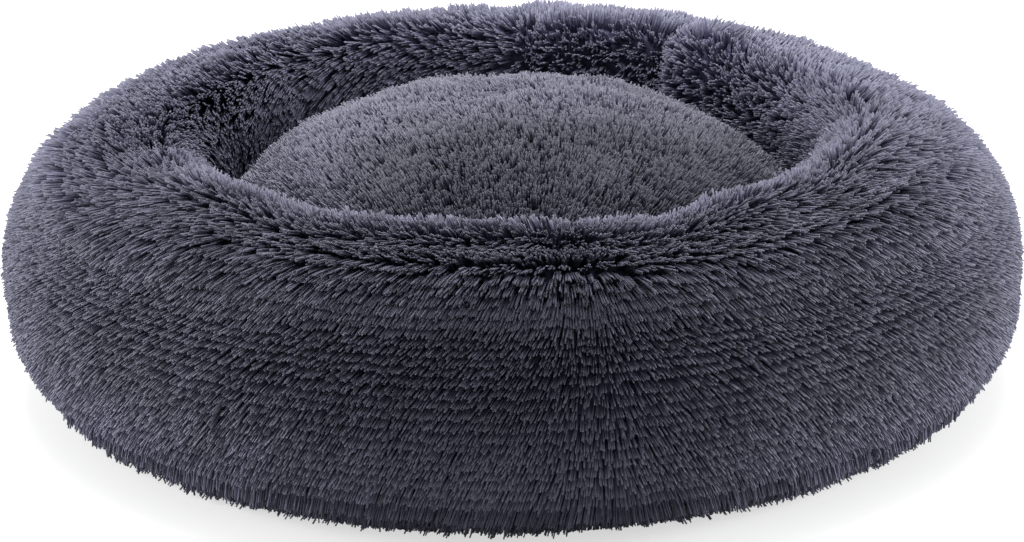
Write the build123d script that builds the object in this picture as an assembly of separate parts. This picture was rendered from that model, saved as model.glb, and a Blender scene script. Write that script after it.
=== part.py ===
from build123d import *
import math
import os

# Round pet bed: a fur-covered ring bolster, a loose domed cushion in its well,
# and a hidden zip in the base seam at the back. Millimetres, +Z up.
# The origin is the middle of the bed on the floor, and -Y is the front.

# Ring bolster, measured over the tips of its pile
bed_radius = 380.0
bed_height = 202.0
widest_height = 88.0        # height at which the ring is widest
base_tuck = 46.0            # how far the outer wall curves in at the floor
crest_setback = 118.0       # from the widest line in to the highest line
crest_to_well = 44.0        # from the highest line in to the upright inner wall
shoulder_height = 130.0     # where the inner wall starts to flare to the crest
ring_pile = 24.0            # pile and backing together
tuck_height = 30.0          # upright foot of the lining, behind the base seam
front_seam_angle = -82.0    # closing seams of the two fur panels, about +Z
back_seam_angle = 85.0
lining_thickness = 1.0

# Base
grip_height = 0.8           # printed dots and base binding, below the base cloth
base_thickness = 1.2
base_setback = 8.0          # from the ring's footprint in to the edge of the base cloth
binding_width = 20.0
dot_radius = 3.0
dot_pitch = 48.0            # from one ring of dots to the next
dots_added = 6              # dots that each ring has more than the one inside it

# Cushion, measured over its pile
cushion_gap = 3.0           # to the inner wall of the ring
cushion_top_height = 206.0
cushion_seam_height = 80.0  # widest line, where the top is sewn to the underside
cushion_roll = 65.0         # from the widest line in to the flat underside
dome_fullness = 0.62        # 0.55 is a quarter ellipse, and more is squarer
cushion_pile = 16.0
underside_thickness = 1.2
bag_thickness = 0.8

# Zip in the base seam, on a circle about the bed's own axis
zip_start_angle = 98.0
zip_end_angle = 162.0
zip_end_margin = 6.0        # degrees of plain tape beyond each stop
tape_gap = 3.0              # from the lining to the tape, for the slider's back plate
tape_thickness = 0.8
chain_gap = 1.4             # between the two rows of teeth
coil_radius = 1.3
stop_length = 3.0
stop_height = 8.0
stop_thickness = 2.6

# Zip slider and pull
slider_length = 12.0
slider_width = 9.6
plate_thickness = 1.2
post_length = 4.0
post_thickness = 0.7
slide_clearance = 0.4
bridge_length = 8.0
bridge_width = 2.0
bridge_bar = 1.0
bridge_opening = 3.0        # height of the window under the bridge
pull_pin_radius = 0.7
pull_width = 6.0
pull_arm_width = 1.0
pull_arm_length = 5.4
pull_length = 22.0
pull_thickness = 1.4

# Care label, sewn into the base seam
label_angle = 55.0
label_thickness = 0.5
label_height = 16.0
label_reach = 20.0          # how far it stands out past the footprint
label_tail = 10.0           # sewn-in part

footprint_radius = bed_radius - base_tuck
crest_radius = bed_radius - crest_setback
well_radius = crest_radius - crest_to_well
base_radius = footprint_radius - base_setback
base_top = grip_height + base_thickness
tape_radius = footprint_radius - ring_pile + tape_gap
zip_height = (base_top + tuck_height) / 2
cushion_radius = well_radius - cushion_gap
cushion_flat_radius = cushion_radius - cushion_roll
chain_width = chain_gap + 4 * coil_radius


def ring_section(inset, floor, upright):
    """Section of the ring, inset from the pile tips. The foot is upright up to that height."""
    foot = footprint_radius - inset
    crest = bed_height - inset
    wall = well_radius + inset
    with BuildSketch(Plane.XZ) as section:
        with BuildLine():
            Line((wall, floor), (foot, floor))
            if upright > floor:
                Line((foot, floor), (foot, upright))
            lower = (bed_radius - footprint_radius, widest_height - upright)
            EllipticalCenterArc((foot, widest_height), *lower, start_angle=270, arc_size=90)
            upper = (bed_radius - inset - crest_radius, crest - widest_height)
            EllipticalCenterArc((crest_radius, widest_height), *upper, start_angle=0, arc_size=90)
            inner = (crest_radius - wall, crest - shoulder_height)
            EllipticalCenterArc((crest_radius, shoulder_height), *inner, start_angle=90, arc_size=90)
            Line((wall, shoulder_height), (wall, floor))
        make_face()
    return section.sketch


def cushion_section(inset, floor):
    """Half section of the cushion, inset by one value from the pile tips and the seam."""
    radius = cushion_radius - inset
    top = cushion_top_height - inset
    with BuildSketch(Plane.XZ) as section:
        with BuildLine():
            Line((0, floor), (cushion_flat_radius, floor))
            lower = (radius - cushion_flat_radius, cushion_seam_height - floor)
            middle = (cushion_flat_radius, cushion_seam_height)
            EllipticalCenterArc(middle, *lower, start_angle=270, arc_size=90)
            steep = (radius, cushion_seam_height + dome_fullness * (top - cushion_seam_height))
            level = (dome_fullness * radius, top)
            Bezier((radius, cushion_seam_height), steep, level, (0, top))
            Line((0, top), (0, floor))
        make_face()
    return section.sketch


def band(inner, outer, low, high, start=0.0, end=360.0):
    """Upright band about +Z, between two radii, two heights and two angles."""
    face = Plane.XZ * Pos((inner + outer) / 2, (low + high) / 2) * Rectangle(outer - inner, high - low)
    return Rot(0, 0, start) * revolve(face, axis=Axis.Z, revolution_arc=end - start)


def block(inner, outer, low, high, along, middle=0.0):
    """Box on the +X side: radii, heights, and its length along the zip."""
    size = (outer - inner, along, high - low)
    return Pos((inner + outer) / 2, middle, (low + high) / 2) * Box(*size)


def zip_opening():
    """The parting in the left fur panel that the zip lies in."""
    start = zip_start_angle - zip_end_margin
    end = zip_end_angle + zip_end_margin
    return band(footprint_radius - ring_pile, bed_radius, base_top, tuck_height, start, end)


def care_label():
    inner = footprint_radius - label_tail
    outer = footprint_radius + label_reach
    return Rot(0, 0, label_angle) * block(inner, outer, base_top, base_top + label_height, label_thickness)


def fur_panel(start, end):
    """One of the two fur strips, with its pile, between two closing seams."""
    outside = ring_section(0, base_top, base_top)
    inside = ring_section(ring_pile, base_top, tuck_height)
    return Rot(0, 0, start) * revolve(outside - inside, axis=Axis.Z, revolution_arc=end - start)


def ring_lining():
    outside = ring_section(ring_pile, base_top, tuck_height)
    inside = ring_section(ring_pile + lining_thickness, base_top + lining_thickness, tuck_height)
    return revolve(outside - inside, axis=Axis.Z)


def ring_fill():
    inside = ring_section(ring_pile + lining_thickness, base_top + lining_thickness, tuck_height)
    return revolve(inside, axis=Axis.Z)


def grip_dots():
    """Rings of dots under the base cloth, from the middle out to the binding."""
    dots = []
    rings = int((base_radius - binding_width - 2 * dot_radius) / dot_pitch)
    for ring in range(1, rings + 1):
        count = dots_added * ring
        for step in range(count):
            angle = 2 * math.pi * step / count
            x = ring * dot_pitch * math.cos(angle)
            y = ring * dot_pitch * math.sin(angle)
            dots.append(Pos(x, y, grip_height / 2) * Cylinder(dot_radius, grip_height))
    return Compound(children=dots)


def zip_tape(low, high):
    start = zip_start_angle - zip_end_margin
    end = zip_end_angle + zip_end_margin
    return band(tape_radius, tape_radius + tape_thickness, low, high, start, end)


def zip_coil(height):
    """One row of teeth, as a round bar along the edge of its tape."""
    middle = tape_radius + tape_thickness + coil_radius
    face = Plane.XZ * Pos(middle, height) * Circle(coil_radius)
    length = zip_end_angle - zip_start_angle
    return Rot(0, 0, zip_start_angle) * revolve(face, axis=Axis.Z, revolution_arc=length)


def zip_stop(start, turn):
    """Metal clip on both tapes, past the end of the teeth."""
    length = math.degrees(stop_length / tape_radius)
    inner = tape_radius + tape_thickness
    low = zip_height - stop_height / 2
    high = zip_height + stop_height / 2
    return band(inner, inner + stop_thickness, low, high, *sorted((start, start + turn * length)))


def slider_radii():
    """Inner faces of the slider's back plate and front plate."""
    back = tape_radius - slide_clearance
    front = tape_radius + tape_thickness + 2 * coil_radius + slide_clearance
    return back, front


def pin_radius():
    """Distance from the bed's axis to the pin of the zip pull."""
    return slider_radii()[1] + plate_thickness + bridge_opening / 2


def slider_angle():
    """The slider stands closed, against the stop at the start of the zip."""
    half = slider_length / 2 + slide_clearance
    return zip_start_angle + math.degrees(half / tape_radius)


def zip_slider():
    back, front = slider_radii()
    low = zip_height - slider_width / 2
    high = zip_height + slider_width / 2
    slider = block(back - plate_thickness, back, low, high, slider_length)
    slider += block(front, front + plate_thickness, low, high, slider_length)
    half_post = post_thickness / 2
    slider += block(back, front, zip_height - half_post, zip_height + half_post, post_length)
    lip = (slider_width - chain_width) / 2 - slide_clearance
    lip_end = tape_radius + tape_thickness + slide_clearance
    slider += block(lip_end, front, low, low + lip, slider_length)
    slider += block(lip_end, front, high - lip, high, slider_length)
    seat = front + plate_thickness
    half_bridge = bridge_width / 2
    bridge = block(seat, seat + bridge_opening + bridge_bar, zip_height - half_bridge,
                   zip_height + half_bridge, bridge_length)
    bridge -= block(seat, seat + bridge_opening, zip_height - bridge_width, zip_height + bridge_width,
                    bridge_length - 2 * bridge_bar)
    return Rot(0, 0, slider_angle()) * (slider + bridge)


def zip_pull():
    """Tab, two arms and a pin that passes under the slider's bridge."""
    pin = pin_radius()
    low = zip_height - pull_width / 2
    high = zip_height + pull_width / 2
    inner = pin - pull_thickness / 2
    outer = pin + pull_thickness / 2
    tab_length = pull_length - pull_arm_length
    pull = Pos(pin, 0, zip_height) * Cylinder(pull_pin_radius, pull_width)
    pull += block(inner, outer, low, low + pull_arm_width, pull_arm_length, pull_arm_length / 2)
    pull += block(inner, outer, high - pull_arm_width, high, pull_arm_length, pull_arm_length / 2)
    pull += block(inner, outer, low, high, tab_length, pull_arm_length + tab_length / 2)
    return Rot(0, 0, slider_angle()) * pull


def cushion_shell():
    """Plush top of the cushion: its pile and backing above the seam."""
    outside = cushion_section(0, base_top)
    inside = cushion_section(cushion_pile, base_top)
    keep = Plane.XZ * Pos(bed_radius / 2, cushion_seam_height + bed_height / 2)
    keep = keep * Rectangle(bed_radius, bed_height)
    return revolve((outside - inside) & keep, axis=Axis.Z)


def cushion_underside():
    """Plain cloth round the bag, below the seam."""
    outside = cushion_section(cushion_pile - underside_thickness, base_top)
    inside = cushion_section(cushion_pile, base_top + underside_thickness)
    keep = Plane.XZ * Pos(bed_radius / 2, cushion_seam_height / 2)
    keep = keep * Rectangle(bed_radius, cushion_seam_height)
    return revolve((outside - inside) & keep, axis=Axis.Z)


def cushion_bag():
    floor = base_top + underside_thickness
    outside = cushion_section(cushion_pile, floor)
    inside = cushion_section(cushion_pile + bag_thickness, floor + bag_thickness)
    return revolve(outside - inside, axis=Axis.Z)


def cushion_fill():
    inside = cushion_section(cushion_pile + bag_thickness, base_top + underside_thickness + bag_thickness)
    return revolve(inside, axis=Axis.Z)


label = care_label()
coil_offset = chain_gap / 2 + coil_radius
nodes = {
    "cover_left": fur_panel(back_seam_angle, front_seam_angle + 360) - zip_opening(),
    "cover_right": fur_panel(front_seam_angle, back_seam_angle) - label,
    "ring_lining": ring_lining(),
    "ring_fill": ring_fill(),
    "base_cloth": band(0, base_radius, grip_height, base_top),
    "base_binding": band(base_radius - binding_width, base_radius, 0, grip_height),
    "grip_dots": grip_dots(),
    "zip_tape_upper": zip_tape(zip_height + chain_gap / 2, tuck_height),
    "zip_tape_lower": zip_tape(base_top, zip_height - chain_gap / 2),
    "zip_coil_upper": zip_coil(zip_height + coil_offset),
    "zip_coil_lower": zip_coil(zip_height - coil_offset),
    "zip_closed_stop": zip_stop(zip_start_angle, -1),
    "zip_open_stop": zip_stop(zip_end_angle, 1),
    "zip_slider": zip_slider(),
    "zip_pull": zip_pull(),
    "care_label": label,
    "cushion_top": cushion_shell(),
    "cushion_underside": cushion_underside(),
    "cushion_bag": cushion_bag(),
    "cushion_fill": cushion_fill(),
}

os.makedirs("parts", exist_ok=True)
for name, shape in nodes.items():
    export_step(shape, f"parts/{name}.step")
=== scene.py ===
import math
import bmesh
import bpy
import numpy as np
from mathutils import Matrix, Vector
from mathutils.bvhtree import BVHTree


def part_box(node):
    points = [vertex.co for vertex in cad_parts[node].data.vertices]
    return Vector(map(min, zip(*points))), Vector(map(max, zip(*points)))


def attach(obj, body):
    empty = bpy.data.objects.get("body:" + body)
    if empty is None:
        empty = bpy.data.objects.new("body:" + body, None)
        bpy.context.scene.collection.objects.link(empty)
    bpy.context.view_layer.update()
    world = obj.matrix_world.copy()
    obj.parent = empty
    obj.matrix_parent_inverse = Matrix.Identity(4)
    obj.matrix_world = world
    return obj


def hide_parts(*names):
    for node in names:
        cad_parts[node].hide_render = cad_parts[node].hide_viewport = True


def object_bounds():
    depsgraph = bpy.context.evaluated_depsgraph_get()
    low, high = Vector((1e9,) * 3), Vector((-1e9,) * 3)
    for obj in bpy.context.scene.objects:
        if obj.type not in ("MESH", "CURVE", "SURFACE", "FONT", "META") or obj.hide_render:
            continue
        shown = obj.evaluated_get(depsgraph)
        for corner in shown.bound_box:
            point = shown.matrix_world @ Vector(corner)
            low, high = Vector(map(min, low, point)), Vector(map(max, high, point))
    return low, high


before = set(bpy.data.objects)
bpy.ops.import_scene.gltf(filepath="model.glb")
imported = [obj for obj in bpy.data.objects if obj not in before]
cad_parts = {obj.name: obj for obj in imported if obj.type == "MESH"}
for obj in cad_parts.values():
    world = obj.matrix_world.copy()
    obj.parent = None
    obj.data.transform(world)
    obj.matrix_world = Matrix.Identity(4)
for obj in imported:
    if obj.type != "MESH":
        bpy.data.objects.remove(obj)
cad_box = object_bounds()

# Ring padding
# The stuffed casing with the fur's knitted backing and dense underfur on it. It gives the ring its soft,
# uneven shape: polyester fibre in a sewn tube, flat where it rests. Spun from its section, swelled as cloth.
MM = 0.001
lining_low, lining_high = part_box("ring_lining")
cover_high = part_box("cover_left")[1]
BASE_TOP = lining_low.z
PILE = cover_high.z - lining_high.z
UNDERFUR = 8 * MM
WIDEST = 88 * MM
FOOT = lining_high.x - 46 * MM
lining_foot = FOOT
FOOT_TOP = 30 * MM
CREST = 262 * MM
SHOULDER = 130 * MM
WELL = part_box("cushion_top")[1].x + 3 * MM


def bow(centre, reach, rise, start, end, steps):
    """Points along part of an ellipse, in radius and height, with the angles in degrees."""
    points = []
    for step in range(steps + 1):
        angle = math.radians(start + (end - start) * step / steps)
        points.append((centre[0] + reach * math.cos(angle), centre[1] + rise * math.sin(angle)))
    return points


def ring_outline(inset):
    """Outer foot, outer wall, crest and inner wall of the ring, inset from the pile tips."""
    bulge = lining_high.x - FOOT
    outer = FOOT + PILE - inset
    outline = [(outer, BASE_TOP), (outer, FOOT_TOP / 2)]
    outline += bow((outer, WIDEST), bulge, WIDEST - FOOT_TOP, -90, 0, 8)
    top = cover_high.z - inset
    outline += bow((CREST, WIDEST), outer + bulge - CREST, top - WIDEST, 0, 90, 14)[1:]
    outline += bow((CREST, SHOULDER), CREST - WELL - inset, top - SHOULDER, 90, 180, 9)[1:]
    outline += [(WELL + inset, height * MM) for height in (110, 90, 70, 50, 30, 14)]
    return outline + [(WELL + inset, BASE_TOP)]


def spun(name, outline, steps, closed):
    """A mesh object made by turning an outline round the bed's axis."""
    bm = bmesh.new()
    verts = [bm.verts.new((radius, 0, height)) for radius, height in outline]
    edges = [bm.edges.new(pair) for pair in zip(verts, verts[1:])]
    if closed:
        edges.append(bm.edges.new((verts[-1], verts[0])))
    bmesh.ops.spin(bm, geom=verts + edges, cent=(0, 0, 0), axis=(0, 0, 1), angle=2 * math.pi,
                   steps=steps, use_merge=True)
    bmesh.ops.remove_doubles(bm, verts=bm.verts, dist=0.01 * MM)
    bmesh.ops.recalc_face_normals(bm, faces=bm.faces)
    mesh = bpy.data.meshes.new(name)
    bm.to_mesh(mesh)
    bm.free()
    piece = bpy.data.objects.new(name, mesh)
    bpy.context.scene.collection.objects.link(piece)
    return piece


def positions(mesh):
    co = np.empty(3 * len(mesh.vertices))
    mesh.vertices.foreach_get("co", co)
    return co.reshape(-1, 3)


def swell(piece, rest_height, cap, frames=20):
    """Blows the casing up as cloth, held where it rests. No point moves further than the cap."""
    start = positions(piece.data)
    held = piece.vertex_groups.new(name="held")
    held.add([int(i) for i in np.flatnonzero(start[:, 2] < rest_height)], 1.0, "REPLACE")
    cloth = piece.modifiers.new("cloth", "CLOTH")
    cloth.settings.quality = 5
    cloth.settings.mass = 0.3
    cloth.settings.vertex_group_mass = "held"
    cloth.settings.use_pressure = True
    cloth.settings.uniform_pressure_force = 4
    cloth.settings.effector_weights.gravity = 0
    cloth.point_cache.frame_end = frames
    scene = bpy.context.scene
    for number in range(1, frames + 1):
        scene.frame_set(number)
    swollen = piece.evaluated_get(bpy.context.evaluated_depsgraph_get()).to_mesh()
    moved = positions(swollen) - start
    piece.evaluated_get(bpy.context.evaluated_depsgraph_get()).to_mesh_clear()
    piece.modifiers.remove(cloth)
    piece.vertex_groups.remove(held)
    scene.frame_set(1)
    far = np.maximum(np.linalg.norm(moved, axis=1, keepdims=True), 1e-9)
    moved *= np.minimum(1, cap / far)
    piece.data.vertices.foreach_set("co", (start + moved).ravel())
    piece.data.update()


def finer(piece):
    """One subdivision, applied."""
    piece.modifiers.new("finer", "SUBSURF").levels = 1
    shown = piece.evaluated_get(bpy.context.evaluated_depsgraph_get())
    mesh = bpy.data.meshes.new_from_object(shown)
    piece.modifiers.clear()
    piece.data = mesh
    mesh.shade_smooth()


def polar(co):
    return np.arctan2(co[:, 1], co[:, 0]), np.hypot(co[:, 0], co[:, 1])


def hump(distance, width):
    return np.exp(-(distance / width) ** 2)


def turned(angle, centre):
    """Difference of two angles, from -pi to pi, with the centre in degrees."""
    return (angle - math.radians(centre) + math.pi) % (2 * math.pi) - math.pi


def smooth_step(value, low, high):
    share = np.clip((value - low) / (high - low), 0, 1)
    return share * share * (3 - 2 * share)


def ripple(co, seed, size):
    """Slow, smooth unevenness from -1 to 1 over a length, the same each run."""
    rng = np.random.default_rng(seed)
    total = np.zeros(len(co))
    for turn in range(6):
        heading = rng.normal(size=3)
        heading *= (0.7 + 0.6 * rng.random()) / (np.linalg.norm(heading) * size)
        total += np.sin(2 * math.pi * (co @ heading) + rng.random() * 2 * math.pi)
    return total / 3.5


ring_pad = spun("ring_pad", ring_outline(PILE - UNDERFUR), 160, closed=True)
swell(ring_pad, 20 * MM, 3 * MM)
finer(ring_pad)


def beside_zip(angle):
    """1 along the zip at the back, 0 away from it."""
    return 1 - smooth_step(abs(turned(angle, 130)), math.radians(40), math.radians(46))


def gather_ring(co):
    """Pulls the seams in and lets the stuffing lie a little unevenly, above the foot. Keeps the padding inside
    the lining behind the zip, and lets the foot spread elsewhere."""
    angle, radius = polar(co)
    height = co[:, 2]
    free = np.clip((height - FOOT_TOP) / (40 * MM), 0, 1)
    inner = np.clip((CREST + 30 * MM - radius) / (30 * MM), 0, 1) * free
    middle = np.stack([CREST * np.cos(angle), CREST * np.sin(angle), np.full(len(co), WIDEST)], 1)
    out = co - middle
    out /= np.linalg.norm(out, axis=1, keepdims=True)
    shift = 1.6 * MM * ripple(co, 3, 0.16) * free
    shift -= 1.0 * MM * hump(turned(angle, -82) * radius, 7 * MM) * free
    shift += 3 * MM * ripple(co, 4, 0.1) * inner
    shift -= 6 * MM * hump(turned(angle, 85) * radius, 12 * MM) * inner
    shift -= 10 * MM * hump(turned(angle, 59) * radius, 15 * MM) * inner
    shift += 9 * MM * hump(turned(angle, 51) * radius, 26 * MM) * inner
    shift -= 8 * MM * hump(turned(angle, 131) * radius, 12 * MM) * inner
    shift -= 6 * MM * smooth_step(height, 110 * MM, 160 * MM) * hump(turned(angle, 25), 0.4)
    co = co + out * shift[:, None]
    co[:, 2] += 7 * MM * smooth_step(height, 130 * MM, 170 * MM) * hump(turned(angle, 93), 0.6)
    labelled = 1 - smooth_step(abs(turned(angle, 55)), 0.04, 0.08)
    spread = 12 * MM * (1 - smooth_step(height, 30 * MM, 85 * MM)) * (1 - labelled)
    spread *= 0.6 + 0.4 * smooth_step(abs(turned(angle, 130)), math.radians(46), math.radians(85))
    spread *= 1 - beside_zip(angle)
    outside = radius > CREST
    angle, radius = polar(co)
    wanted = radius + spread * outside
    tucked = np.minimum(wanted, lining_foot - 0.5 * MM)
    share = beside_zip(angle) * (1 - smooth_step(height, FOOT_TOP + 1 * MM, FOOT_TOP + 9 * MM)) * outside
    wanted += (tucked - wanted) * share
    co[:, :2] *= (wanted / radius)[:, None]
    return co


ring_pad.data.vertices.foreach_set("co", gather_ring(positions(ring_pad.data)).ravel())
ring_pad.data.update()


def linear(colour):
    """An sRGB hex colour as linear red, green, blue and alpha."""
    parts = [int(colour[i:i + 2], 16) / 255 for i in (0, 2, 4)]
    return [c / 12.92 if c <= 0.04045 else ((c + 0.055) / 1.055) ** 2.4 for c in parts] + [1.0]


def add(material, kind, links=(), **settings):
    """Adds one shader node, sets its inputs and properties, and links (input, from node, output)."""
    node = material.node_tree.nodes.new(kind)
    for name, value in settings.items():
        if name in node.inputs:
            node.inputs[name].default_value = value
        else:
            setattr(node, name, value)
    for target, source, output in links:
        material.node_tree.links.new(source.outputs[output], node.inputs[target])
    return node


def new_material(name, **settings):
    """A material and its Principled shader, with constant settings on the shader's own sockets."""
    material = bpy.data.materials.new(name)
    material.use_nodes = True
    shader = material.node_tree.nodes["Principled BSDF"]
    for key, value in settings.items():
        shader.inputs[key.replace("_", " ")].default_value = value
    return material, shader


# Knitted polyester backing: a fine dark jersey that the pile grows from, dull, with a knit about 1 mm apart.
backing, shader = new_material("knitted_polyester_backing", Roughness=0.9, Specular_IOR_Level=0.2)
place = add(backing, "ShaderNodeTexCoord")
knit = add(backing, "ShaderNodeTexVoronoi", [("Vector", place, "Object")], Scale=1000.0)
shade = add(backing, "ShaderNodeValToRGB", [("Fac", knit, "Distance")])
shade.color_ramp.elements[0].color = linear("50506a")
shade.color_ramp.elements[1].color = linear("404058")
backing.node_tree.links.new(shade.outputs["Color"], shader.inputs["Base Color"])
bump = add(backing, "ShaderNodeBump", [("Height", knit, "Distance")], Strength=0.3, Distance=0.3 * MM)
backing.node_tree.links.new(bump.outputs["Normal"], shader.inputs["Normal"])

ring_pad.data.materials.append(backing)
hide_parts("ring_lining", "ring_fill", "cover_left", "cover_right")
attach(ring_pad, "bed")

# Ring fur
# Two strips of long-pile plush, all polyester. The pile stands in small locks, in rows, and hangs down the
# outer wall. Each lock is four three-sided strands side by side, widening to their cut ends, and a shorter,
# thicker one behind them, bent by the nap, grown from the padding.
TONES = 16


def strand_shape(bends):
    """One strand of unit length and radius along +Z: a three-sided stem that widens up to its cut end.
    Gives its points, its faces, and where each face corner lies across and along its colour map."""
    bm = bmesh.new()
    bmesh.ops.create_cone(bm, cap_ends=True, segments=3, radius1=0.75, radius2=1.0, depth=1.0)
    bmesh.ops.translate(bm, verts=bm.verts, vec=(0, 0, 0.5))
    for height in bends:
        bmesh.ops.bisect_plane(bm, geom=bm.verts[:] + bm.edges[:] + bm.faces[:], plane_co=(0, 0, height),
                               plane_no=(0, 0, 1))
    bmesh.ops.triangulate(bm, faces=bm.faces)
    bmesh.ops.recalc_face_normals(bm, faces=bm.faces)
    bm.verts.index_update()
    co = np.array([vert.co[:] for vert in bm.verts])
    faces = np.array([[vert.index for vert in face.verts] for face in bm.faces])
    bm.free()
    side = np.round(np.arctan2(co[:, 1], co[:, 0]) / (2 * math.pi / 3)) % 3
    across = side[faces] / 2
    along = co[:, 2][faces]
    ends = np.ptp(along, axis=1) < 0.01
    along[ends] += (1 - 2 * along[ends]) * (0, 0, 0.05)
    return co, faces, across, along


STRAIGHT = strand_shape(())
BENT = strand_shape((0.55,))


def unit(vectors):
    return vectors / np.maximum(np.linalg.norm(vectors, axis=1, keepdims=True), 1e-9)


def grow(name, shape, roots, reach, bend, radius, tone_and_painted_shade, material):
    """A mesh of strands, each from its root along its reach, with its own radius and tone. A bent one
    starts steeper and ends flatter, by its bend."""
    strand, strand_faces, strand_across, strand_along = shape
    count, size = len(roots), len(strand)
    rng = np.random.default_rng(count)
    side = unit(np.cross(reach, rng.normal(size=(count, 3))))
    front = unit(np.cross(reach, side))
    body = side[:, None] * strand[None, :, :1] + front[:, None] * strand[None, :, 1:2]
    at = strand[None, :, 2:]
    co = roots[:, None] + reach[:, None] * at - bend[:, None] * (at - at * at) + body * radius[:, None, None]
    faces = strand_faces[None] + size * np.arange(count)[:, None, None]
    mesh = bpy.data.meshes.new(name)
    mesh.vertices.add(count * size)
    mesh.vertices.foreach_set("co", co.ravel())
    mesh.loops.add(faces.size)
    mesh.loops.foreach_set("vertex_index", faces.ravel().astype(np.int32))
    mesh.polygons.add(faces.size // 3)
    mesh.polygons.foreach_set("loop_start", np.arange(0, faces.size, 3, dtype=np.int32))
    column = np.clip((tone_and_painted_shade * TONES).astype(int), 0, TONES - 1)[:, None, None]
    across = (column + 0.15 + 0.7 * strand_across[None]) / TONES
    along = np.broadcast_to(0.02 + 0.96 * strand_along[None], across.shape)
    colour_map = mesh.uv_layers.new(name="OFBake")
    colour_map.data.foreach_set("uv", np.stack([across, along], -1).ravel())
    mesh.materials.append(material)
    mesh.update()
    mesh.shade_smooth()
    piece = bpy.data.objects.new(name, mesh)
    bpy.context.scene.collection.objects.link(piece)
    return piece


def rows(outline, pitch):
    """Points along an outline, one row of locks apart."""
    line = np.array(outline)
    run = np.concatenate([[0], np.cumsum(np.linalg.norm(np.diff(line, axis=0), axis=1))])
    at = np.arange(pitch / 2, run[-1], pitch)
    return np.stack([np.interp(at, run, line[:, 0]), np.interp(at, run, line[:, 1])], 1)


def sown(points, pitch, seed, stray=0.1):
    """Locks in rings, each a pitch apart and a little out of line, as angle, radius and height."""
    rng = np.random.default_rng(seed)
    found = []
    for radius, height in points:
        number = max(6, round(2 * math.pi * radius / pitch))
        angle = (np.arange(number) + rng.random() + rng.normal(0, stray, number)) * 2 * math.pi / number
        found.append(np.stack([angle, radius + rng.normal(0, stray * pitch, number),
                               height + rng.normal(0, stray * pitch, number)], 1))
    return np.concatenate(found)


def rooted(piece, co):
    """Each point moved to the padding's surface, and the surface's normal there."""
    tree = BVHTree.FromPolygons([v.co for v in piece.data.vertices],
                                [p.vertices for p in piece.data.polygons])
    found = [tree.find_nearest(Vector(point))[:2] for point in co]
    return np.array([place[:] for place, normal in found]), np.array([normal[:] for place, normal in found])


def plush(name, tip, middle, root):
    """Polyester plush: fine glossy fibres, with painted shade: dark where they crowd at the root and paler at the
    tip.
    """
    material, shader = new_material(name, Roughness=0.6, Specular_IOR_Level=0.3, Sheen_Weight=0.15,
                                    Sheen_Roughness=0.4, Sheen_Tint=linear("b4b4d2"))
    colour_map = add(material, "ShaderNodeUVMap", uv_map="OFBake")
    parts = add(material, "ShaderNodeSeparateXYZ", [("Vector", colour_map, "UV")])
    # Painted shade along each strand: darker at the root and paler at the tip.
    ramp = add(material, "ShaderNodeValToRGB", [("Fac", parts, "Y")])
    stops = ramp.color_ramp.elements
    stops[0].position = 0.2
    stops[0].color = linear(root)
    stops[1].position = 1.0
    stops[1].color = linear(tip)
    stops.new(0.75).color = linear(middle)
    tone_and_painted_shade = add(material, "ShaderNodeMapRange", [("Value", parts, "X")])
    tone_and_painted_shade.inputs["To Min"].default_value = 0.62
    tone_and_painted_shade.inputs["To Max"].default_value = 1.5
    shaded = add(material, "ShaderNodeVectorMath", [(0, ramp, "Color"), (1, tone_and_painted_shade, "Result")],
                 operation="MULTIPLY")
    material.node_tree.links.new(shaded.outputs["Vector"], shader.inputs["Base Color"])
    return material


def grow_locks(name, shape, strands, gap, roots, out, lean, height, radius, tone_and_painted_shade, material, seed):
    """Locks of a few strands side by side, with one shorter, thicker strand behind them. Every tip of a lock
    ends about one pile height above the padding."""
    rng = np.random.default_rng(seed)
    beside = unit(np.cross(out, lean + rng.normal(0, 0.02, lean.shape)))
    place = np.append(np.arange(strands) - (strands - 1) / 2, 0.0)
    place = np.tile(place, len(roots))[:, None]
    short = np.tile(np.append(np.zeros(strands), 1.0), len(roots))
    parts = [np.repeat(part, strands + 1, axis=0) for part in (roots, out, lean, height, radius, tone_and_painted_shade, beside)]
    roots, out, lean, height, radius, tone_and_painted_shade, beside = parts
    count = len(roots)
    roots = roots + beside * place * gap * radius[:, None]
    roots += (0.2 * MM + 1.4 * MM * short)[:, None] * rng.normal(0, 1, (count, 3))
    lean = lean + beside * place * 0.03 + rng.normal(0, 0.045, (count, 3))
    height = height * rng.normal(1.0, 0.03, count) * (1 - 0.26 * short)
    radius = radius * rng.uniform(0.85, 1.15, count) * (1 + 0.6 * short)
    tone_and_painted_shade = np.clip(tone_and_painted_shade + rng.normal(0, 0.13, count), 0, 0.999)
    reach = (out + lean) * height[:, None]
    reach[:, 2] = np.maximum(reach[:, 2], 0.5 * MM - roots[:, 2])
    return grow(name, shape, roots, reach, lean * height[:, None], radius, tone_and_painted_shade, material)


ring_plush = plush("polyester_plush_long_pile", tip="767688", middle="545468", root="50506a")
outline = ring_outline(PILE - UNDERFUR)
wall = [point for point in outline if point[0] > CREST and point[1] < 165 * MM]
crest = [point for point in outline if point[1] >= 155 * MM or point[0] < CREST and point[1] > 100 * MM]
hidden = [point for point in outline if point[1] <= 112 * MM and point[0] < CREST]
locks = np.concatenate([sown(rows(wall, 6.4 * MM), 4.3 * MM, 11), sown(rows(crest, 5.4 * MM), 4.0 * MM, 13, 0.3),
                        sown(rows(hidden, 9 * MM), 6 * MM, 12)])
behind = smooth_step(np.sin(locks[:, 0]), -0.6, 0.1)
locks[:, 1:] += behind[:, None] * np.random.default_rng(7).normal(0, 1.5 * MM, (len(locks), 2))
co = np.stack([locks[:, 1] * np.cos(locks[:, 0]), locks[:, 1] * np.sin(locks[:, 0]), locks[:, 2]], 1)
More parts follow.
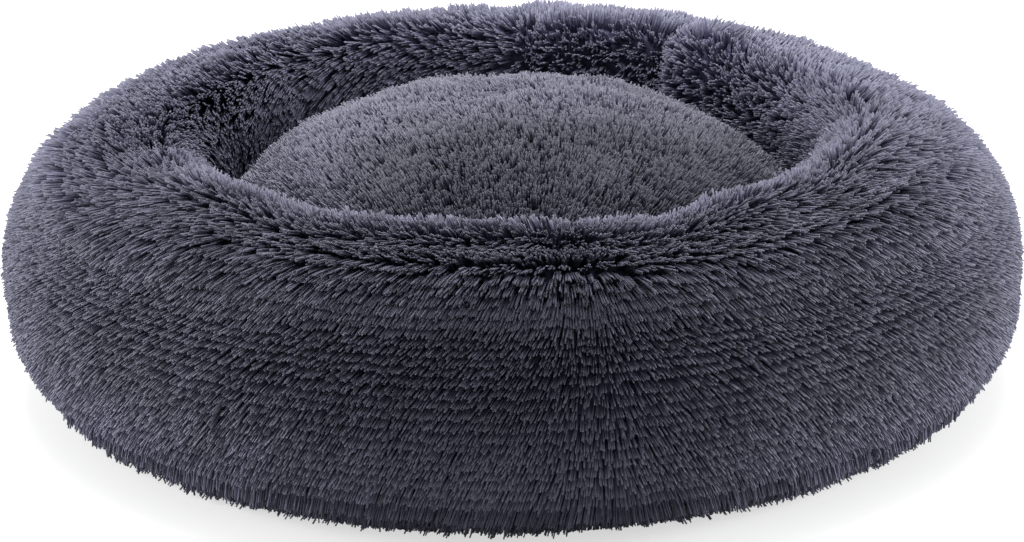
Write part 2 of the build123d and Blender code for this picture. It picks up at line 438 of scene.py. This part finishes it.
roots, normal = rooted(ring_pad, co)
angle, radius = polar(roots)
zipped = (beside_zip(angle) > 0.5) & (radius > CREST) & (roots[:, 2] < FOOT_TOP + 7 * MM)
labelled = (abs(turned(angle, 55)) < 0.035) & (radius > CREST) & (roots[:, 2] < 24 * MM)
roots, normal = roots[~(zipped | labelled)], normal[~(zipped | labelled)]
angle, radius = polar(roots)
outward = np.stack([np.cos(angle), np.sin(angle), np.zeros(len(angle))], 1)
along = np.stack([-np.sin(angle), np.cos(angle), np.zeros(len(angle))], 1)
upward = np.array([0.0, 0.0, 1.0])
facing = (normal * outward).sum(1)
inner = smooth_step(-facing, -0.45, 0.15)
downhill = outward * normal[:, 2:] - facing[:, None] * upward
# Outside, the pile lies down the wall, and it parts to left and right of the front seam.
lying = smooth_step(facing, -0.3, 0.4) * (1.45 - 0.65 * smooth_step(facing, 0.45, 0.9))
from_front = turned(angle, -80.5) * radius
fan = np.tanh(from_front / (32 * MM)) * (0.38 + 0.2 * hump(from_front, 100 * MM)) - 0.06
fan *= hump(from_front, 360 * MM)
front = smooth_step(-np.sin(angle), -0.2, 0.6)
sagging = front * smooth_step(facing, 0.0, 0.4) * (1 - smooth_step(facing, 0.6, 0.95))
soft = smooth_step(facing, -0.4, 0.0) * (1 - smooth_step(facing, 0.5, 0.85))
soft *= 1 - smooth_step(abs(turned(angle, -80.5)), 0.8, 1.35)
# Inside, at the back, it is combed away from the back seam and down into the well.
from_back = turned(angle, 85)
to_left = inner * smooth_step(from_back, 0.0, 0.06) * (1 - smooth_step(from_back, 1.4, 2.2))
drop = 0.4 + 0.6 * smooth_step(from_back, 0.2, 0.7) * (1 - smooth_step(from_back, 0.8, 1.2))
lean = (lying * (1 - to_left) - drop * to_left - 0.4 * inner * hump(from_back + 0.25, 0.25))[:, None] * downhill
lean += (fan * (1 - 0.2 * soft))[:, None] * along
lean += (to_left * (1.0 + 1.0 * smooth_step(from_back, 0.2, 0.8)))[:, None] * along
lean -= 0.5 * sagging[:, None] * upward
unruly = 0.25 + 0.75 * (1 - smooth_step(facing, 0.3, 0.95))
for axis, seed in enumerate((21, 22, 23)):
    lean[:, axis] += unruly * (0.1 * ripple(roots, seed, 0.055) + 0.06 * ripple(roots, seed + 10, 0.02))
lean += unruly[:, None] * np.random.default_rng(5).normal(0, 0.05, lean.shape)
height = (PILE - UNDERFUR) * (1 + 0.05 * unruly * ripple(roots, 31, 0.03))
height *= (1 + 0.15 * sagging) * (1 - 0.2 * to_left)
lean *= 1 - 0.38 * soft[:, None]
front_crest = soft > 0.12
# Over the zip it hangs straight down, and is longer.
curtain = beside_zip(angle) * (radius > CREST) * (1 - smooth_step(roots[:, 2], 45 * MM, 75 * MM))
lean += curtain[:, None] * (-1.3 * upward - 0.2 * outward - lean)
height *= 1 + 0.4 * curtain
# The tone differs at random, and it also carries painted light and shade: the inner wall at the back is painted
# paler, and the upper front of the wall is painted darker.
tone_and_painted_shade = 0.5 + 0.12 * ripple(roots, 41, 0.05) + 0.5 * inner * hump(turned(angle, 85), 1.1)
tone_and_painted_shade -= 0.28 * smooth_step(facing, -0.2, 0.2) * smooth_step(roots[:, 2], 60 * MM, 110 * MM) * front
width = np.full(len(roots), 0.64 * MM)


def part(name, shape, chosen, node):
    piece = grow_locks(name, shape, 4, 1.2, roots[chosen], normal[chosen], lean[chosen], height[chosen],
                       width[chosen], tone_and_painted_shade[chosen], ring_plush, int(chosen.sum()))
    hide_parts(node)
    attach(piece, "bed")


for node, start, end, pieces in (("cover_left", 85, 278, 5), ("cover_right", -82, 85, 4)):
    turn = turned(angle, start) % (2 * math.pi)
    width_of_part = math.radians(end - start)
    halfway = turned(angle, -80.5) * (1 if node == "cover_right" else -1) > 0.62
    part(f"{node}_fur_front_1", BENT, front_crest & (turn < width_of_part) & ~halfway, node)
    part(f"{node}_fur_front_2", BENT, front_crest & (turn < width_of_part) & halfway, node)
    for number in range(pieces):
        low = number * width_of_part / pieces
        high = low + width_of_part / pieces
        part(f"{node}_fur_{number + 1}", STRAIGHT, ~front_crest & (turn >= low) & (turn < high), node)

# Cushion padding
# The loose cushion's stuffed bag: a plump dome with a flat underside, of the same fibre as the ring.
cushion_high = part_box("cushion_top")[1]
bag_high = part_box("cushion_bag")[1]
CUSHION_TUFT = cushion_high.z - bag_high.z - 1 * MM
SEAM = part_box("cushion_top")[0].z
CUSHION_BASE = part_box("cushion_underside")[0].z
FULLNESS = 0.62


def dome_outline(inset):
    """Flat underside, rolled edge and dome of the cushion, inset from the pile tips."""
    radius, top = cushion_high.x - inset, cushion_high.z - inset
    flat = cushion_high.x - 65 * MM
    outline = [(flat * share, CUSHION_BASE) for share in (0, 0.2, 0.4, 0.6, 0.8)]
    outline += bow((flat, SEAM), radius - flat, SEAM - CUSHION_BASE, -90, 0, 9)
    for step in range(1, 21):
        t = step / 20
        edge, rise = (1 - t) ** 3 + 3 * (1 - t) ** 2 * t, t ** 3 + 3 * (1 - t) * t * t
        outline.append((radius * (edge + 3 * (1 - t) * t * t * FULLNESS),
                        SEAM + (top - SEAM) * (rise + 3 * (1 - t) ** 2 * t * FULLNESS)))
    return outline


cushion_pad = spun("cushion_pad", dome_outline(CUSHION_TUFT), 96, closed=False)
swell(cushion_pad, 6 * MM, 3 * MM)
finer(cushion_pad)


def settle_cushion(co):
    """The fibre lies a little unevenly, with one small dimple behind the middle."""
    free = np.clip((co[:, 2] - SEAM) / (60 * MM), 0, 1)
    co[:, 2] += free * 2.5 * MM * ripple(co, 61, 0.2)
    apart = np.hypot(co[:, 0] + 18 * MM, co[:, 1] - 75 * MM)
    co[:, 2] -= 7 * MM * hump(apart, 16 * MM) * free
    return co


cushion_pad.data.vertices.foreach_set("co", settle_cushion(positions(cushion_pad.data)).ravel())
cushion_pad.data.update()
# Plain-woven polyester, dark and dull, with the cross-hatch of its threads. The threads are 0.4 mm apart,
# and are drawn 0.8 mm apart so that they show.
base_weave, shader = new_material("plain_woven_polyester", Roughness=0.85, Specular_IOR_Level=0.3)
place = add(base_weave, "ShaderNodeTexCoord")
threads = [add(base_weave, "ShaderNodeTexWave", [("Vector", place, "Object")], Scale=390.0,
               bands_direction=direction) for direction in ("X", "Y")]
crossed = add(base_weave, "ShaderNodeMath", [(0, threads[0], "Fac"), (1, threads[1], "Fac")],
              operation="MULTIPLY")
shade = add(base_weave, "ShaderNodeValToRGB", [("Fac", crossed, "Value")])
shade.color_ramp.elements[0].color = linear("202026")
shade.color_ramp.elements[1].color = linear("3c3c46")
base_weave.node_tree.links.new(shade.outputs["Color"], shader.inputs["Base Color"])
bump = add(base_weave, "ShaderNodeBump", [("Height", crossed, "Value")], Strength=0.5, Distance=0.3 * MM)
base_weave.node_tree.links.new(bump.outputs["Normal"], shader.inputs["Normal"])
cushion_pad.data.materials.append(base_weave)
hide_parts("cushion_underside", "cushion_bag", "cushion_fill", "cushion_top")
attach(cushion_pad, "cushion")

# Cushion fur
# A finer, shorter plush on the dome. It stands straight up from the cushion all over.
cushion_plush = plush("polyester_plush_short_pile", tip="828290", middle="58586c", root="50506a")
dome = [point for point in dome_outline(CUSHION_TUFT) if point[1] > SEAM - 2 * MM]
locks = sown(rows(dome, 5.6 * MM), 2.7 * MM, 51, stray=0.6)
co = np.stack([locks[:, 1] * np.cos(locks[:, 0]), locks[:, 1] * np.sin(locks[:, 0]), locks[:, 2]], 1)
roots, normal = rooted(cushion_pad, co)
parting = 70 * MM + 0.5 * np.minimum(roots[:, 1], 0)
lean = np.zeros_like(roots)
lean[:, 0] = 0.55 * np.tanh((roots[:, 0] - parting) / (70 * MM))
lean += 0.6 * (np.array([0, 0, 1]) - normal * normal[:, 2:])
for axis, seed in enumerate((71, 72, 73)):
    lean[:, axis] += 0.14 * ripple(roots, seed, 0.07) + 0.06 * ripple(roots, seed + 10, 0.022)
lean += np.random.default_rng(6).normal(0, 0.04, lean.shape)
height = (CUSHION_TUFT) * (1 + 0.05 * ripple(roots, 81, 0.03))
tone_and_painted_shade = 0.5 + 0.1 * ripple(roots, 91, 0.05)
# Painted light and shade in the tone: the cushion's left is painted paler, and its front and right are painted
# darker.
tone_and_painted_shade += 0.2 * smooth_step(-roots[:, 0], 50 * MM, 160 * MM)
tone_and_painted_shade -= 0.9 * smooth_step(-roots[:, 1], 0, 110 * MM) * smooth_step(roots[:, 0], -0.16, 0.0)
tone_and_painted_shade -= 0.3 * smooth_step(roots[:, 0], 40 * MM, 170 * MM)
width = np.full(len(roots), 0.55 * MM)
angle = polar(roots)[0] % (2 * math.pi)
third = 2 * math.pi / 3
for number in range(3):
    chosen = (angle >= number * third) & (angle < (number + 1) * third)
    piece = grow_locks(f"cushion_fur_{number + 1}", STRAIGHT, 4, 1.9, roots[chosen], normal[chosen], lean[chosen],
                       height[chosen], width[chosen], tone_and_painted_shade[chosen], cushion_plush, 60 + number)
    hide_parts("cushion_top")
    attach(piece, "cushion")

# Base
# A disc of plain-woven cloth closes the ring underneath. A twill tape binds its edge, and rings of soft PVC
# dots are printed on it so that the bed doesn't slide.


def dress(nodes, material):
    """Gives carried-over solids their material."""
    for node in nodes:
        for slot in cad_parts[node].material_slots:
            slot.material = material


dress(["base_cloth"], base_weave)

# Polyester twill tape: a close diagonal rib, slightly glossier than the cloth, drawn 1.2 mm apart.
twill, shader = new_material("polyester_twill_tape", Roughness=0.7, Specular_IOR_Level=0.4)
place = add(twill, "ShaderNodeTexCoord")
ribs = add(twill, "ShaderNodeTexWave", [("Vector", place, "Object")], Scale=260.0, bands_direction="DIAGONAL")
shade = add(twill, "ShaderNodeValToRGB", [("Fac", ribs, "Fac")])
shade.color_ramp.elements[0].color = linear("1c1c22")
shade.color_ramp.elements[1].color = linear("34343e")
twill.node_tree.links.new(shade.outputs["Color"], shader.inputs["Base Color"])
bump = add(twill, "ShaderNodeBump", [("Height", ribs, "Fac")], Strength=0.6, Distance=0.3 * MM)
twill.node_tree.links.new(bump.outputs["Normal"], shader.inputs["Normal"])
dress(["base_binding"], twill)

# Soft PVC plastisol, printed and cured: smooth, rubbery and faintly pitted by small bubbles.
plastisol, shader = new_material("soft_pvc_plastisol", Roughness=0.5, Specular_IOR_Level=0.5)
place = add(plastisol, "ShaderNodeTexCoord")
bubbles = add(plastisol, "ShaderNodeTexNoise", [("Vector", place, "Object")], Scale=900.0, Detail=3.0)
shade = add(plastisol, "ShaderNodeValToRGB", [("Fac", bubbles, "Fac")])
shade.color_ramp.elements[0].color = linear("26262c")
shade.color_ramp.elements[1].color = linear("3a3a42")
plastisol.node_tree.links.new(shade.outputs["Color"], shader.inputs["Base Color"])
bump = add(plastisol, "ShaderNodeBump", [("Height", bubbles, "Fac")], Strength=0.3, Distance=0.2 * MM)
plastisol.node_tree.links.new(bump.outputs["Normal"], shader.inputs["Normal"])
dress(["grip_dots"], plastisol)

# Zip
# A nylon coil zip sewn into the base seam at the back, under the pile: two woven tapes with a coil on each,
# a die-cast slider and pull, and a clip at each end.
# Herringbone-woven polyester tape: fine upright ribs, drawn 1 mm apart.
zip_weave, shader = new_material("woven_polyester_zip_tape", Roughness=0.75, Specular_IOR_Level=0.35)
place = add(zip_weave, "ShaderNodeTexCoord")
turn = add(zip_weave, "ShaderNodeTexGradient", [("Vector", place, "Object")], gradient_type="RADIAL")
RIBS_ROUND = 1980
ribs = add(zip_weave, "ShaderNodeMath", [(0, turn, "Fac")], operation="MULTIPLY")
ribs.inputs[1].default_value = RIBS_ROUND
ribs = add(zip_weave, "ShaderNodeMath", [(0, ribs, "Value")], operation="PINGPONG")
ribs.inputs[1].default_value = 0.5
shade = add(zip_weave, "ShaderNodeValToRGB", [("Fac", ribs, "Value")])
shade.color_ramp.elements[0].color = linear("18181d")
shade.color_ramp.elements[1].color = linear("2c2c34")
shade.color_ramp.elements[1].position = 0.5
zip_weave.node_tree.links.new(shade.outputs["Color"], shader.inputs["Base Color"])
bump = add(zip_weave, "ShaderNodeBump", [("Height", ribs, "Value")], Strength=0.4, Distance=0.2 * MM)
zip_weave.node_tree.links.new(bump.outputs["Normal"], shader.inputs["Normal"])
dress(["zip_tape_upper", "zip_tape_lower"], zip_weave)

# Nylon monofilament, wound and heat-set: glossy rounded teeth, 1.5 mm apart.
nylon, shader = new_material("nylon_monofilament_coil", Roughness=0.3, Specular_IOR_Level=0.5)
place = add(nylon, "ShaderNodeTexCoord")
turn = add(nylon, "ShaderNodeTexGradient", [("Vector", place, "Object")], gradient_type="RADIAL")
TEETH_ROUND = 1320
teeth = add(nylon, "ShaderNodeMath", [(0, turn, "Fac")], operation="MULTIPLY")
teeth.inputs[1].default_value = TEETH_ROUND
teeth = add(nylon, "ShaderNodeMath", [(0, teeth, "Value")], operation="PINGPONG")
teeth.inputs[1].default_value = 0.5
shade = add(nylon, "ShaderNodeValToRGB", [("Fac", teeth, "Value")])
shade.color_ramp.elements[0].color = linear("101014")
shade.color_ramp.elements[1].color = linear("3a3a44")
shade.color_ramp.elements[1].position = 0.5
nylon.node_tree.links.new(shade.outputs["Color"], shader.inputs["Base Color"])
bump = add(nylon, "ShaderNodeBump", [("Height", teeth, "Value")], Strength=0.8, Distance=0.5 * MM)
nylon.node_tree.links.new(bump.outputs["Normal"], shader.inputs["Normal"])
dress(["zip_coil_upper", "zip_coil_lower"], nylon)

# Die-cast zinc with gunmetal plating, tumbled: dark, smooth metal with small rubs that vary its gloss.
gunmetal, shader = new_material("gunmetal_plated_zinc", Metallic=1.0)
shader.inputs["Base Color"].default_value = linear("6a6a70")
place = add(gunmetal, "ShaderNodeTexCoord")
rubs = add(gunmetal, "ShaderNodeTexNoise", [("Vector", place, "Object")], Scale=1200.0, Detail=4.0)
gloss = add(gunmetal, "ShaderNodeMapRange", [("Value", rubs, "Fac")])
gloss.inputs["To Min"].default_value = 0.22
gloss.inputs["To Max"].default_value = 0.42
gunmetal.node_tree.links.new(gloss.outputs["Result"], shader.inputs["Roughness"])
dress(["zip_closed_stop", "zip_open_stop", "zip_slider", "zip_pull"], gunmetal)

# Care label
# A blank loop of white satin ribbon, caught in the base seam and hidden by the pile.
# Polyester satin: soft gloss and fine threads along the ribbon, drawn 0.5 mm apart.
satin, shader = new_material("polyester_satin_ribbon", Roughness=0.45, Specular_IOR_Level=0.5)
place = add(satin, "ShaderNodeTexCoord")
threads = add(satin, "ShaderNodeTexWave", [("Vector", place, "Object")], Scale=620.0, bands_direction="Z")
shade = add(satin, "ShaderNodeValToRGB", [("Fac", threads, "Fac")])
shade.color_ramp.elements[0].color = linear("d8d8d8")
shade.color_ramp.elements[1].color = linear("f0f0f0")
satin.node_tree.links.new(shade.outputs["Color"], shader.inputs["Base Color"])
bump = add(satin, "ShaderNodeBump", [("Height", threads, "Fac")], Strength=0.3, Distance=0.1 * MM)
satin.node_tree.links.new(bump.outputs["Normal"], shader.inputs["Normal"])
dress(["care_label"], satin)

# Floor, light and camera
# A plain pale floor under soft studio light from above, with paler light from both sides.
bm = bmesh.new()
bmesh.ops.create_grid(bm, x_segments=1, y_segments=1, size=12)
mesh = bpy.data.meshes.new("floor")
bm.to_mesh(mesh)
bm.free()
floor = bpy.data.objects.new("floor", mesh)
bpy.context.scene.collection.objects.link(floor)
paper, shader = new_material("white_paper", Roughness=0.9, Specular_IOR_Level=0.1)
shader.inputs["Base Color"].default_value = linear("c8c8c8")
shader.inputs["Emission Color"].default_value = (1, 1, 1, 1)
lit = add(paper, "ShaderNodeLightPath")
glow = add(paper, "ShaderNodeMath", [(0, lit, "Is Camera Ray")], operation="MULTIPLY")
glow.inputs[1].default_value = 0.62
paper.node_tree.links.new(glow.outputs["Value"], shader.inputs["Emission Strength"])
floor.data.materials.append(paper)

world = bpy.data.worlds.new("studio")
world.use_nodes = True
# The room is white. Its light is weaker from the front, where the camera stands, than from above and behind.
heading = add(world, "ShaderNodeTexCoord")
share = add(world, "ShaderNodeSeparateXYZ", [("Vector", heading, "Generated")])
behind = add(world, "ShaderNodeMapRange", [("Value", share, "Y")])
behind.inputs["From Min"].default_value = -0.9
behind.inputs["From Max"].default_value = 0.6
behind.inputs["To Min"].default_value = 0.28
behind.inputs["To Max"].default_value = 0.9
seen_white = add(world, "ShaderNodeLightPath")
strength = add(world, "ShaderNodeMath", [(0, behind, "Result"), (1, seen_white, "Is Camera Ray")],
               operation="MAXIMUM")
background = world.node_tree.nodes["Background"]
background.inputs["Color"].default_value = (1, 1, 1, 1)
world.node_tree.links.new(strength.outputs["Value"], background.inputs["Strength"])
bpy.context.scene.world = world


def softbox(name, place, target, size, power):
    light = bpy.data.lights.new(name, "AREA")
    light.shape = "RECTANGLE"
    light.size, light.size_y = size
    light.energy = power
    holder = bpy.data.objects.new(name, light)
    bpy.context.scene.collection.objects.link(holder)
    holder.location = place
    holder.rotation_euler = (Vector(target) - Vector(place)).to_track_quat("-Z", "Y").to_euler()


softbox("top", (0, 0.7, 2.2), (0, 0, 0.1), (1.8, 1.4), 58)
softbox("left", (-2.3, 0.25, 0.4), (0, 0, 0.1), (0.8, 1.0), 58)
softbox("right", (2.3, 0.25, 0.4), (0, 0, 0.1), (0.8, 1.0), 58)

ELEVATION = math.radians(20.5)
DISTANCE = 7.4 * cad_box[1][0]
camera_data = bpy.data.cameras.new("camera")
camera_data.lens = 130
camera_data.clip_end = 100
camera = bpy.data.objects.new("camera", camera_data)
bpy.context.scene.collection.objects.link(camera)
camera.location = (0, -DISTANCE * math.cos(ELEVATION), DISTANCE * math.sin(ELEVATION))
aim = Vector((-0.0008, 0, 0.072)) - camera.location
camera.rotation_euler = aim.to_track_quat("-Z", "Y").to_euler()
camera.rotation_euler.rotate_axis("Z", math.radians(-0.8))
bpy.context.scene.camera = camera
bpy.context.scene.view_settings.view_transform = "Standard"
